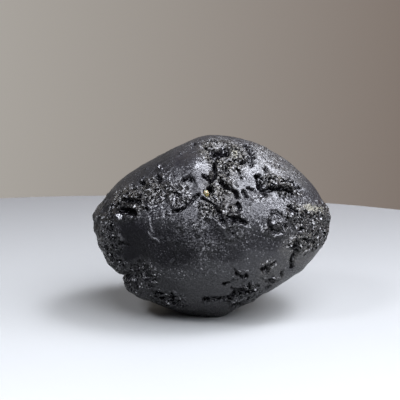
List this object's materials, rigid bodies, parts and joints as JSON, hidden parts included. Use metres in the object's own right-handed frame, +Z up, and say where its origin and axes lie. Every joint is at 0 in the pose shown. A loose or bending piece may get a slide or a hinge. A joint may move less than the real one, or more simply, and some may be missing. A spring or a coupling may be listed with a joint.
{
  "type": "tektite",
  "caption": "Blunt almond-shaped lump of black natural glass, pitted and grooved, with a sand grain lodged in a pit.",
  "frame": {"origin": "middle of the stone's footprint box, on the surface that it rests on", "axes": "+X along the stone's long way, +Z up as it rests, -Y towards its most pitted face, the front"},
  "size_m": [0.0435, 0.0361, 0.0327],
  "materials": {
    "black_tektite_glass": "satin",
    "yellow_quartz_sand": "satin"
  },
  "bodies": {
    "root": {"tektite": "black_tektite_glass", "lodged_sand_grain": "yellow_quartz_sand"}
  },
  "joints": []
}
